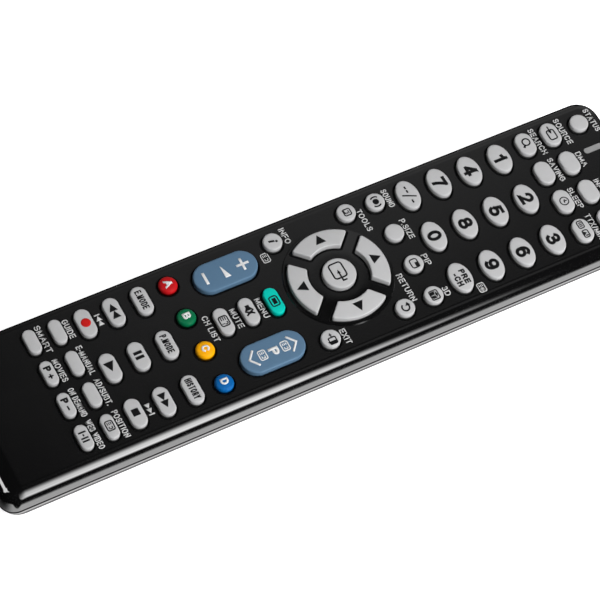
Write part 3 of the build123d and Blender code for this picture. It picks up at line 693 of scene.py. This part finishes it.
# Each letter as its width and its pen strokes, both in capital heights; a stroke that comes back to
# its start is closed.
alphabet = {
    "A": (0.92, [[(0, 0), (0.5, 1)], [(0.5, 1), (1, 0)], [(0.2, 0.34), (0.8, 0.34)]]),
    "B": (0.80, [[(0, 0), (0, 1), *bow(0.55, 0.76, 0.38, 0.24, 90, -90), (0, 0.52)],
                 [(0, 0.52), *bow(0.57, 0.26, 0.43, 0.26, 90, -90), (0, 0)]]),
    "C": (0.90, [bow(0.52, 0.5, 0.52, 0.5, 38, 322, 24)]),
    "D": (0.86, [[(0, 0), (0, 1), *bow(0.45, 0.5, 0.55, 0.5, 90, -90, 20), (0, 0)]]),
    "E": (0.74, [[(1, 1), (0, 1), (0, 0), (1, 0)], [(0, 0.52), (0.93, 0.52)]]),
    "F": (0.70, [[(1, 1), (0, 1), (0, 0)], [(0, 0.5), (0.9, 0.5)]]),
    "G": (0.94, [[*bow(0.5, 0.5, 0.5, 0.5, 42, 325, 24), (1, 0.2), (1, 0.47), (0.56, 0.47)]]),
    "H": (0.82, [[(0, 0), (0, 1)], [(1, 0), (1, 1)], [(0, 0.52), (1, 0.52)]]),
    "I": (0.0, [[(0, 0), (0, 1)]]),
    "K": (0.84, [[(0, 0), (0, 1)], [(0.95, 1), (0, 0.34)], [(0.32, 0.57), (0.97, 0)]]),
    "L": (0.66, [[(0, 1), (0, 0), (1, 0)]]),
    "M": (0.96, [[(0, 0), (0, 1)], [(0.04, 1), (0.5, 0)], [(0.5, 0), (0.96, 1)], [(1, 0), (1, 1)]]),
    "N": (0.82, [[(0, 0), (0, 1)], [(0.05, 1), (0.95, 0)], [(1, 0), (1, 1)]]),
    "O": (1.00, [ring8 + ring8[:1]]),
    "P": (0.76, [[(0, 0), (0, 1), *bow(0.55, 0.73, 0.45, 0.27, 90, -90), (0, 0.46)]]),
    "R": (0.84, [[(0, 0), (0, 1), *bow(0.55, 0.74, 0.40, 0.26, 90, -90), (0, 0.48)],
                 [(0.5, 0.48), (0.72, 0.42), (0.95, 0)]]),
    "S": (0.78, [bow(0.5, 0.74, 0.46, 0.26, 18, 245) + bow(0.5, 0.26, 0.5, 0.26, 65, -162)]),
    "T": (0.80, [[(0, 1), (1, 1)], [(0.5, 0.9), (0.5, 0)]]),
    "U": (0.82, [[(0, 1), *bow(0.5, 0.36, 0.5, 0.36, 180, 360), (1, 1)]]),
    "V": (0.88, [[(0, 1), (0.5, 0)], [(0.5, 0), (1, 1)]]),
    "W": (1.30, [[(0, 1), (0.26, 0)], [(0.26, 0), (0.5, 1)], [(0.5, 1), (0.74, 0)], [(0.74, 0), (1, 1)]]),
    "X": (0.86, [[(0, 0), (1, 1)], [(0, 1), (1, 0)]]),
    "Y": (0.86, [[(0, 1), (0.5, 0.44)], [(0.5, 0.44), (1, 1)], [(0.5, 0.5), (0.5, 0)]]),
    "Z": (0.78, [[(0, 1), (1, 1)], [(0.97, 0.95), (0.03, 0.05)], [(0, 0), (1, 0)]]),
    "0": (0.62, [ring8 + ring8[:1]]),
    "1": (0.34, [[(1, 0), (1, 1)], [(1, 0.93), (0.55, 0.77), (-0.15, 0.72)]]),
    "2": (0.62, [[*bow(0.5, 0.70, 0.47, 0.30, 172, -32), (0.04, 0)], [(0, 0), (1, 0)]]),
    "3": (0.62, [bow(0.47, 0.75, 0.42, 0.25, 160, -85), bow(0.47, 0.265, 0.52, 0.265, 88, -160),
                 [(0.38, 0.515), (0.55, 0.515)]]),
    "4": (0.66, [[(0.72, 0), (0.72, 1)], [(0.70, 1), (0.04, 0.32)], [(0.03, 0.27), (1, 0.27)]]),
    "5": (0.62, [[(0.93, 1), (0.2, 1), (0.10, 0.50)], bow(0.48, 0.31, 0.52, 0.31, 142, -158)]),
    "6": (0.62, [[*bow(0.5, 0.31, 0.49, 0.31, 0, 360, 24)], bow(0.56, 0.5, 0.55, 0.5, 48, 195)]),
    "7": (0.62, [[(0, 1), (1, 1)], [(0.98, 0.96), (0.62, 0.52), (0.44, 0.22), (0.37, 0)]]),
    "8": (0.62, [bow(0.5, 0.755, 0.42, 0.245, 0, 360, 24), bow(0.5, 0.27, 0.5, 0.27, 0, 360, 24)]),
    "9": (0.62, [[*bow(0.5, 0.69, 0.49, 0.31, 0, 360, 24)], bow(0.44, 0.5, 0.55, 0.5, 228, 375)]),
    "-": (0.30, [[(0, 0.38), (1, 0.38)]]),
    "/": (0.34, [[(0, 0), (1, 1)]]),
    ".": (0.0, [[(0, 0.0), (0, 0.04)]]),
    " ": (0.16, []),
}


def letters(words, x, y, height, width, pen):
    # Centred on x, y and drawn out to that width: the widths and gaps of the letters, less the pen's
    # own, share what is left of it.
    widths = [alphabet[c][0] for c in words]
    gap = inkSize["gap"]
    scale = (width - pen * len(words)) / (sum(widths) + gap * (len(words) - 1) or 1)
    low, band = y - height / 2, (y - height / 2, y + height / 2)
    parts, left = [], x - width / 2 + pen / 2
    for c, wide in zip(words, widths):
        for path in alphabet[c][1]:
            line = [(left + u * wide * scale, low + pen / 2 + v * (height - pen)) for u, v in path]
            closed = np.hypot(*np.subtract(line[0], line[-1])) < 1e-6
            parts.append(stroke(line[:-1] if closed else line, pen, closed, band))
        left += (wide + gap) * scale + pen
    return join(parts)


def join(parts):
    points, faces, base = [], [], 0
    for p, f in parts:
        points.append(p)
        faces += [[i + base for i in face] for face in f]
        base += len(p)
    return np.vstack(points), faces


def printOn(name, parts, material, body, height):
    # The flat pieces lifted to the surface under them, and given the ink's thickness.
    points, faces = join(parts)
    points = points * mm
    piece = addPiece(name, np.c_[points, height(points[:, 0], points[:, 1])], faces, material, body)
    solid = piece.modifiers.new("thickness", "SOLIDIFY")
    solid.thickness = inkSize["thick"]
    solid.offset = 0.0


def printKey(title, node, which, parts, material):
    # The parts moved to the middle of one of the node's keys and laid on its top.
    key = keysOf[node][which]
    moved = [(p + key.middle / mm, f) for p, f in parts]
    printOn(title, moved, material, node, lambda x, y: key.lift(x - key.middle[0], y - key.middle[1]))


# Symbols, each about the middle of its key

def sourceSign():
    return [boxLine(0.45, 0.05, 3.3, 2.3, 0.42), bar(-1.65, 0.05, 1.9, 0.42),
            triangle(-0.35, 0.05, 1.1, 1.1, 3)]


def searchSign():
    return [circle(-0.4, 0.3, 1.15, 0.44), stroke([(0.45, -0.5), (1.2, -1.15)], 0.66)]


def sleepSign():
    return [circle(0.25, 0.0, 1.3, 0.34), stroke([(0.25, 0.85), (0.25, -0.1), (0.85, -0.1)], 0.34),
            stroke([(-0.3, 0.3), (0.25, -0.1)], 0.26)]


def twoPagesSign():
    lines = [bar(-1.7 + i * 0.55, 0.05, 0.34, 1.0) for i in (-1, 0, 1)]
    return [boxLine(-1.7, 0.05, 2.4, 1.7, 0.36, 0.5), boxLine(1.55, 0.05, 2.4, 1.7, 0.36, 0.5)] + lines + [
        triangle(1.3, -0.1, 1.4, 1.0), bar(2.15, 0.2, 0.4, 0.9)]


def soundSign():
    return [disc(0.25, 0, 0.95), stroke(arc(0.25, 0, 1.62, 138, 222, 9), 0.44),
            stroke(arc(0.25, 0, 1.62, -42, 42, 9), 0.44)]


def insetSign():
    return [boxLine(0.2, -0.05, 2.8, 2.2, 0.36), bar(0.85, 0.55, 1.7, 1.1)]


def cubeSign():                              # a solid seen from one corner, with a page behind it
    return [boxLine(0.3, 0.0, 2.9, 2.4, 0.36, 0.4),
            patch((-0.85, -0.95), (0.25, -1.2), (0.25, 0.1), (-0.85, 0.4)),
            patch((0.45, -1.2), (1.4, -0.85), (1.4, 0.45), (0.45, 0.1)),
            patch((-0.8, 0.6), (0.35, 0.3), (1.35, 0.62), (0.3, 1.0))]


def toolsSign():
    return [boxLine(0.2, 0.15, 2.1, 2.1, 0.38, 0.4), stroke([(0.7, -0.3), (-0.85, -1.0)], 0.38),
            triangle(-0.5, -0.85, 0.9, 0.7, 2), bar(0.2, 0.6, 1.0, 0.3), bar(0.45, 0.12, 0.6, 0.28)]


def returnSign():
    return [stroke(arc(0.2, 0.0, 1.1, -150, 130, 24), 0.48), triangle(-0.75, 0.9, 1.5, 1.2, 1)]


def infoSign():
    return [patch((-0.55, -1.25), (0.1, -1.25), (0.45, 0.45), (-0.2, 0.45)), disc(0.4, 1.0, 0.38)]


def exitSign():
    return [boxLine(0.95, 0.1, 2.0, 2.1, 0.36, 0.3), bar(-0.5, 0.15, 1.3, 0.36),
            triangle(-1.1, 0.15, 1.0, 0.8, 1), patch((1.0, -1.5), (2.0, -0.9), (2.0, 0.9), (1.0, 1.0))]


def enterSign():
    return [stroke(roundBox(-0.8, -0.15, 4.9, 3.85, 0.8), 0.46, True),
            stroke([(2.65, 1.1), (2.65, -0.17), (0.0, -0.17)], 0.48), triangle(-0.45, -0.17, 1.1, 1.2, 1)]


def menuSign():
    return [boxLine(0.3, -0.05, 3.1, 2.35, 0.4), bar(0.3, 0.0, 1.9, 1.2)]


def muteSign():
    speaker = [bar(-1.3, 0.0, 0.8, 1.2), patch((-0.95, -0.6), (0.0, -1.3), (0.0, 1.3), (-0.95, 0.6))]
    return speaker + [stroke([(0.05, 1.25), (1.4, -1.25)], 0.5), stroke([(1.4, 1.25), (0.05, -1.25)], 0.5),
                      stroke(arc(-0.3, 0, 1.3, -38, 38, 7), 0.34)]


def listSign():
    lines = [bar(-0.6, y, 1.1, 0.3) for y in (-0.6, 0.0, 0.6)]
    return [boxLine(0.15, 0.0, 3.1, 2.5, 0.38), stroke(arc(0.85, 0.35, 0.42, 150, -60, 9), 0.3),
            bar(0.95, -0.35, 0.3, 0.5), bar(0.95, -0.8, 0.32, 0.26)] + lines


def pageSign(x=0.0, y=0.0, scale=1.0, pen=0.34):   # a framed page with two columns of lines
    parts = [boxLine(0, 0, 2.9, 2.1, pen, 0.5)]
    parts += [bar(-0.62, dy, 0.8, pen * 0.75) for dy in (-0.5, 0.0, 0.5)]
    parts += [bar(0.6, dy, 0.75, pen * 0.85) for dy in (-0.42, 0.42)] + [bar(0.95, 0.1, pen * 0.8, 0.9)]
    return [(p * scale + (x, y), f) for p, f in parts]


def rewindSign():
    return [triangle(x, 0, 2.5, 2.4, 1) for x in (-1.2, 1.1)]


def forwardSign():
    return [triangle(x, 0, 2.5, 2.35, 3) for x in (-1.1, 1.15)]


def skipSign(way):                           # two heads against a bar
    return [triangle(way * (-0.95), 0, 1.7, 1.55, 2 + way), triangle(way * 0.55, 0, 1.7, 1.55, 2 + way),
            bar(way * 1.65, 0, 0.4, 1.7)]


def volumeMarks():
    return [bar(0.05, 5.25, 4.0, 0.72), bar(0.05, 5.25, 0.72, 3.8),
            patch((-1.75, -0.95), (2.15, -0.95), (2.15, 0.75), (-1.75, -0.8)), bar(0.05, -6.35, 3.9, 0.8)]


def channelMarks():
    chevron = np.array([(-2.5, 0), (0, 2.1), (2.5, 0)])
    return [stroke(chevron + (0.0, 5.1), 0.6), stroke(chevron * (1, -1) + (0.0, -5.15), 0.6),
            letters("P", 0.2, 0.2, 3.0, 2.5, 0.8)] + pageSign(0.0, 3.75) + pageSign(0.0, -3.25)


def word(text, width, height=2.0, pen=0.37):
    return [letters(text, 0, 0, height, width, pen)]


digitWidths = {"0": 3.25, "1": 1.9, "2": 3.3, "3": 3.3, "4": 3.5, "5": 3.3, "6": 3.3, "7": 3.15,
               "8": 3.4, "9": 3.4}
digitLook = {"x": 0.25, "y": -0.12, "height": 4.35, "pen": 1.0}


def digit(text, width):
    look = digitLook
    return [letters(text, look["x"], look["y"], look["height"], width, look["pen"])]


# Each legend as its node, which of that node's keys, its ink and its parts.
legends = [(f"key_{d}", 0, "black", digit(d, w)) for d, w in digitWidths.items()] + [
    ("dash_key", 0, "black", [bar(-2.2, 0.05, 0.95, 0.52), bar(-0.9, 0.05, 0.95, 0.52),
                              bar(2.6, 0.05, 1.1, 0.52), stroke([(-0.2, -1.9), (1.5, 1.9)], 0.44)]),
    ("previous_channel_key", 0, "black", [letters("PRE", 0.35, 1.05, 1.85, 4.7, 0.48),
                                          letters("-CH", 0.65, -1.25, 1.85, 4.3, 0.48)]),
    ("source_row_keys", 0, "black", sourceSign()), ("search_row_keys", 0, "black", searchSign()),
    ("search_row_keys", 2, "black", sleepSign()), ("search_row_keys", 3, "black", twoPagesSign()),
    ("picture_row_keys", 0, "black", soundSign()), ("picture_row_keys", 2, "black", insetSign()),
    ("picture_row_keys", 3, "black", cubeSign()), ("tools_key", 0, "black", toolsSign()),
    ("return_key", 0, "black", returnSign()), ("info_key", 0, "black", infoSign()),
    ("exit_key", 0, "black", exitSign()), ("ok_key", 0, "black", enterSign()),
    ("menu_key", 0, "black", menuSign()), ("mute_key", 0, "black", muteSign()),
    ("channel_list_key", 0, "black", listSign()), ("volume_rocker", 0, "white", volumeMarks()),
    ("channel_rocker", 0, "white", channelMarks()),
    ("energy_mode_key", 0, "black", word("E.MODE", 6.1)),
    ("picture_mode_key", 0, "black", word("P.MODE", 5.9)),
    ("history_key", 0, "black", word("HISTORY", 6.55)),
    ("rewind_key", 0, "black", rewindSign()), ("forward_key", 0, "black", forwardSign()),
    ("pause_key", 0, "black", [bar(-0.8, 0, 0.95, 2.5), bar(0.7, 0, 0.95, 2.5)]),
    ("record_key", 0, "red", [disc(0.15, 0, 1.4)]), ("play_key", 0, "black", [triangle(0, 0, 3.1, 3.1, 3)]),
    ("stop_key", 0, "black", [bar(0, 0, 2.2, 2.1)]), ("guide_row_keys", 3, "black", pageSign()),
    ("smart_row_keys", 1, "black", [letters("P", -1.15, 0, 2.1, 1.6, 0.58), bar(1.3, -0.05, 1.5, 0.44),
                                    bar(1.3, -0.05, 0.44, 1.5)]),
    ("smart_row_keys", 2, "black", [letters("P", -1.1, 0, 2.1, 1.6, 0.58), bar(1.3, -0.05, 1.35, 0.44)]),
    ("smart_row_keys", 3, "black", [bar(-1.3, 0, 0.5, 2.1), bar(-0.35, 0, 0.7, 0.44),
                                    bar(0.55, 0, 0.5, 2.1), bar(1.45, 0, 0.5, 2.1)]),
] + [(n + "_key", 0, "white", [letters(t, -0.05, 0, 2.35, w, 0.62)])
     for n, t, w in (("red", "A", 2.3), ("green", "B", 1.95), ("yellow", "C", 2.1), ("blue", "D", 2.0))]
for name, which, colour, parts in legends:
    printKey(f"{name}_legend_{which + 1}", name, which, parts, inksAndShade[colour])

headLook = {"reach": 11.95, "wide": 3.25, "deep": 3.0, "aside": -0.15}
for quarter, name in enumerate(ringNames):
    c, s = [(0, 1), (-1, 0), (0, -1), (1, 0)][quarter]
    mark = triangle(c * headLook["reach"] + headLook["aside"], s * headLook["reach"], headLook["wide"],
                    headLook["deep"], quarter)
    printKey(name + "_legend", name, 0, [mark], inksAndShade["black"])
print("key legends printed")

# Painted shade round the wells: a dull near-black ring laid on the face round each key, where the wells'
# shade falls

wellShadeLook = {"clear": 0.32, "wide": 0.42}
padLook = {"reach": (6.5, 15.75, 16.0), "rise": (0.75, 0.25, 0.0)}   # the raised pad round the ring


def onPlate(x, y):                           # the flat, and the pad's cone on it
    r = np.hypot(x - ringMiddle[0], y - ringMiddle[1]) / mm
    return np.interp(r, padLook["reach"], faceLevel + np.array(padLook["rise"]) * mm)


wellShadeRings = []
for key in sum(keysOf.values(), []):
    rows = [(key.ring(-out * mm) + key.middle) / mm
            for out in (wellShadeLook["clear"], wellShadeLook["clear"] + wellShadeLook["wide"])]
    wellShadeRings.append((np.vstack(rows), gridFaces(2, len(rows[0]), True)))
printOn("painted_well_shade", wellShadeRings, inksAndShade["shade"], "root", onPlate)
print("well shade painted")

# Labels on the face: words, middle across, width, middle along
labels = [
    ("STATUS", -16.2, 8.2, 102.3), ("SOURCE", -16.2, 9.3, 92.2), ("DMA", -5.6, 5.2, 92.2),
    ("INPUT", 5.4, 6.6, 92.2), ("TV", 16.1, 3.2, 92.2), ("SEARCH", -16.2, 9.4, 83.4),
    ("SAVING", -5.5, 8.4, 83.4), ("SLEEP", 5.2, 7.3, 83.4), ("TTX/MIX", 15.8, 8.9, 83.4),
    ("SOUND", -17.1, 6.2, 33.1), ("P.SIZE", -5.9, 6.8, 33.1), ("PIP", 5.3, 3.7, 33.1),
    ("3D", 16.7, 3.0, 33.1),
    ("TOOLS", -13.4, 7.6, 23.3), ("RETURN", 10.95, 9.4, 23.3), ("INFO", -18.1, 5.3, 0.0),
    ("EXIT", 17.6, 5.0, 0.0), ("MENU", 0.0, 6.6, -16.85), ("MUTE", 0.0, 6.4, -24.8),
    ("CH LIST", 0.0, 8.6, -32.9),
    ("GUIDE", -16.15, 6.1, -68.3), ("E-MANUAL", -5.5, 9.5, -68.3), ("AD/SUBT.", 5.2, 8.7, -68.3),
    ("POSITION", 15.9, 8.7, -68.3), ("SMART", -16.1, 9.0, -75.95), ("MOVIES", -5.5, 7.4, -75.95),
    ("ON DEMAND", 5.2, 9.3, -75.95), ("WEB VIDEO", 15.85, 9.3, -75.95),
]
labelLook = {"height": 1.82, "pen": 0.31}


def onFace(x, y):
    return np.full_like(x, faceLevel)


for words, x, width, y in labels:
    mark = letters(words, x, y, labelLook["height"], width, labelLook["pen"])
    title = "".join(c if c.isalnum() else "_" for c in words.lower())
    printOn("label_" + title, [mark], inksAndShade["label"], "root", onFace)

faceSigns = {
    "label_previous": [(p + (-15.2, -59.45), f) for p, f in skipSign(-1)],
    "label_next": [(p + (15.15, -59.45), f) for p, f in skipSign(1)],
    "label_page_info": pageSign(-13.9, -8.4, 1.0, 0.28),
    "label_page_channel": pageSign(19.85, 42.9, 1.0, 0.28) + [disc(20.45, 42.8, 0.62)],
}
for name, parts in faceSigns.items():
    printOn(name, parts, inksAndShade["label"], "root", onFace)
print("face labels printed")


# Stage

stage = {
    "half": 3.0, "floorColour": (0.82, 0.82, 0.82), "floorGlow": 0.75, "sky": 0.11, "dim": 0.008,
    # Soft panels that only shiny things mirror: a level and soft edges, each an axis of the direction
    # that is mirrored, where the edge starts, how wide it is, and what share is left beyond it. A minus
    # sign turns an edge round. Lift is z with something added far ahead.
    "panels": {
        "side": (6.41, [("x", 0.1, 0.2), ("y", 0.05, 0.22), ("-y", 0.30, 0.125), ("-lift", 0.28, 0.62),
                        ("z", -0.48, 0.44), ("-z", 0.0, 0.001, 0.811)]),
        "far": (7.4, [("x", -0.02, 0.10), ("y", 0.80, 0.10), ("-z", 0.05, 0.15), ("z", -0.30, 0.20),
                      ("-z", 0.0, 0.001, 0.811)]),
        "back": (0.868, [("-x", -0.46, 0.13), ("x", -0.80, 0.15, 0.45), ("y", 0.345, 0.03, 0.7142857),
                         ("y", 0.18, 0.12), ("z", -0.1, 0.2), ("z", 0.0, 0.001)]),
        "front": (5.0, [("-x", -0.10, 0.15), ("-y", -0.48, 0.06), ("z", 0.45, 0.1)]),
        "top": (0.45, [("x", -0.20, 0.08), ("-x", 0.14, 0.1), ("y", 0.245, 0.015), ("z", 0.80, 0.06)]),
    },
    "lift": (0.28, 0.14, 0.5),               # where along y it starts, how wide, how much is added
    # A bright strip on the floor beside the object, seen in the same way, in metres
    "beside": (1.0, [("x", 12 * mm, 17 * mm), ("-x", 30.9 * mm, 0.5 * mm), ("y", -114 * mm, 8 * mm)]),
}


def panel(axes, level, edges):               # the level times every soft edge
    for axis, start, width, *left in edges:
        ramp = axes[axis.strip("-")].over(start, width)
        if axis.startswith("-"):
            ramp = 1 - ramp
        level = (ramp * (1 - left[0]) + left[0] if left else ramp) * level
    return level


floorMesh = bpy.data.meshes.new("floor")
half = stage["half"]
floorMesh.from_pydata([(-half, -half, 0), (half, -half, 0), (half, half, 0), (-half, half, 0)], [],
                      [(0, 1, 2, 3)])
floor = bpy.data.objects.new("floor", floorMesh)
scene.collection.objects.link(floor)

paper = newFinish("floor_paper")
rays = paper.outputs("LightPath")
lit = paper.node("BsdfDiffuse", values={"Color": (*stage["floorColour"], 1)})
glow = paper.node("Emission", values={"Strength": rays["Is Camera Ray"] * stage["floorGlow"]})
strip = paper.node("Emission", values={"Strength": panel(dict(zip("xyz", paper.axes())), *stage["beside"])})
clear = paper.node("BsdfTransparent")        # mirrored rays go on to the world's panels
reflected = paper.sum("MAXIMUM", rays["Is Glossy Ray"], rays["Is Transmission Ray"])
seen = paper.node("MixShader", values={0: reflected, 1: paper.node("AddShader", values={0: lit, 1: glow}),
                                       2: paper.node("AddShader", values={0: strip, 1: clear})})
behind = paper.node("NewGeometry", output="Backfacing")      # the floor can't be seen from below
seen = paper.node("MixShader", values={0: behind, 1: seen, 2: clear})
paper.node("OutputMaterial", values={"Surface": seen}, output=None)
floorMesh.materials.append(paper.owner)

scene.world = bpy.data.worlds.new("studio")
sky = Finish(scene.world)
rays = sky.outputs("LightPath")
axes = dict(zip("xyz", sky.axes(sky.node("TexCoord", output="Generated"))))
ahead, soft, share = stage["lift"]
axes["lift"] = axes["z"] + axes["y"].over(ahead, soft) * share
glossy = sum(panel(axes, *look) for look in stage["panels"].values()) + stage["dim"]
reflected = sky.sum("MAXIMUM", rays["Is Glossy Ray"], rays["Is Transmission Ray"])
strength = sky.node("Mix", values={0: reflected, 2: stage["sky"], 3: glossy})
strength = sky.node("Mix", values={0: rays["Is Camera Ray"], 2: strength, 3: 1.0})
light = sky.node("Background", values={"Strength": strength})
sky.node("OutputWorld", values={"Surface": light}, output=None)

lamps = {                                    # place, point aimed at, size and level
    "side_softbox": ((0.38, 0.16, 0.37), (0, 0.05, 0), (0.46, 0.84), 4.5),
    "left_softbox": ((-0.75, 0.15, 0.55), (0, 0, 0), (0.5, 0.5), 1.2),
}
for name, (place, aim, size, level) in lamps.items():
    lamp = bpy.data.lights.new(name, "AREA")
    lamp.shape = "RECTANGLE"
    lamp.size, lamp.size_y = size
    lamp.energy = level * pi * size[0] * size[1]
    box = bpy.data.objects.new(name, lamp)
    box.location = place
    box.rotation_euler = (Vector(aim) - Vector(place)).to_track_quat("-Z", "Y").to_euler()
    box.visible_camera = box.visible_glossy = False      # shiny things mirror the panels instead
    scene.collection.objects.link(box)

cameraLook = {
    "sensor": 36.0, "lens": 152.12,
    "place": (0.2828, -0.2401, 0.6211),
    "right": (0.47328637, 0.87284446, 0.11892249),
    "down": (0.78538151, -0.35695747, -0.50572447),
    "forward": (-0.39896853, 0.33275203, -0.85445901),
}
camera = bpy.data.cameras.new("camera")
camera.sensor_width = cameraLook["sensor"]
camera.lens = cameraLook["lens"]
eye = bpy.data.objects.new("camera", camera)
right, down, forward = (Vector(cameraLook[k]) for k in ("right", "down", "forward"))
turned = Matrix((right, -down, -forward)).transposed().to_4x4()
eye.matrix_world = Matrix.Translation(cameraLook["place"]) @ turned
scene.collection.objects.link(eye)
scene.camera = eye
scene.view_settings.view_transform = "Standard"
print("stage set")
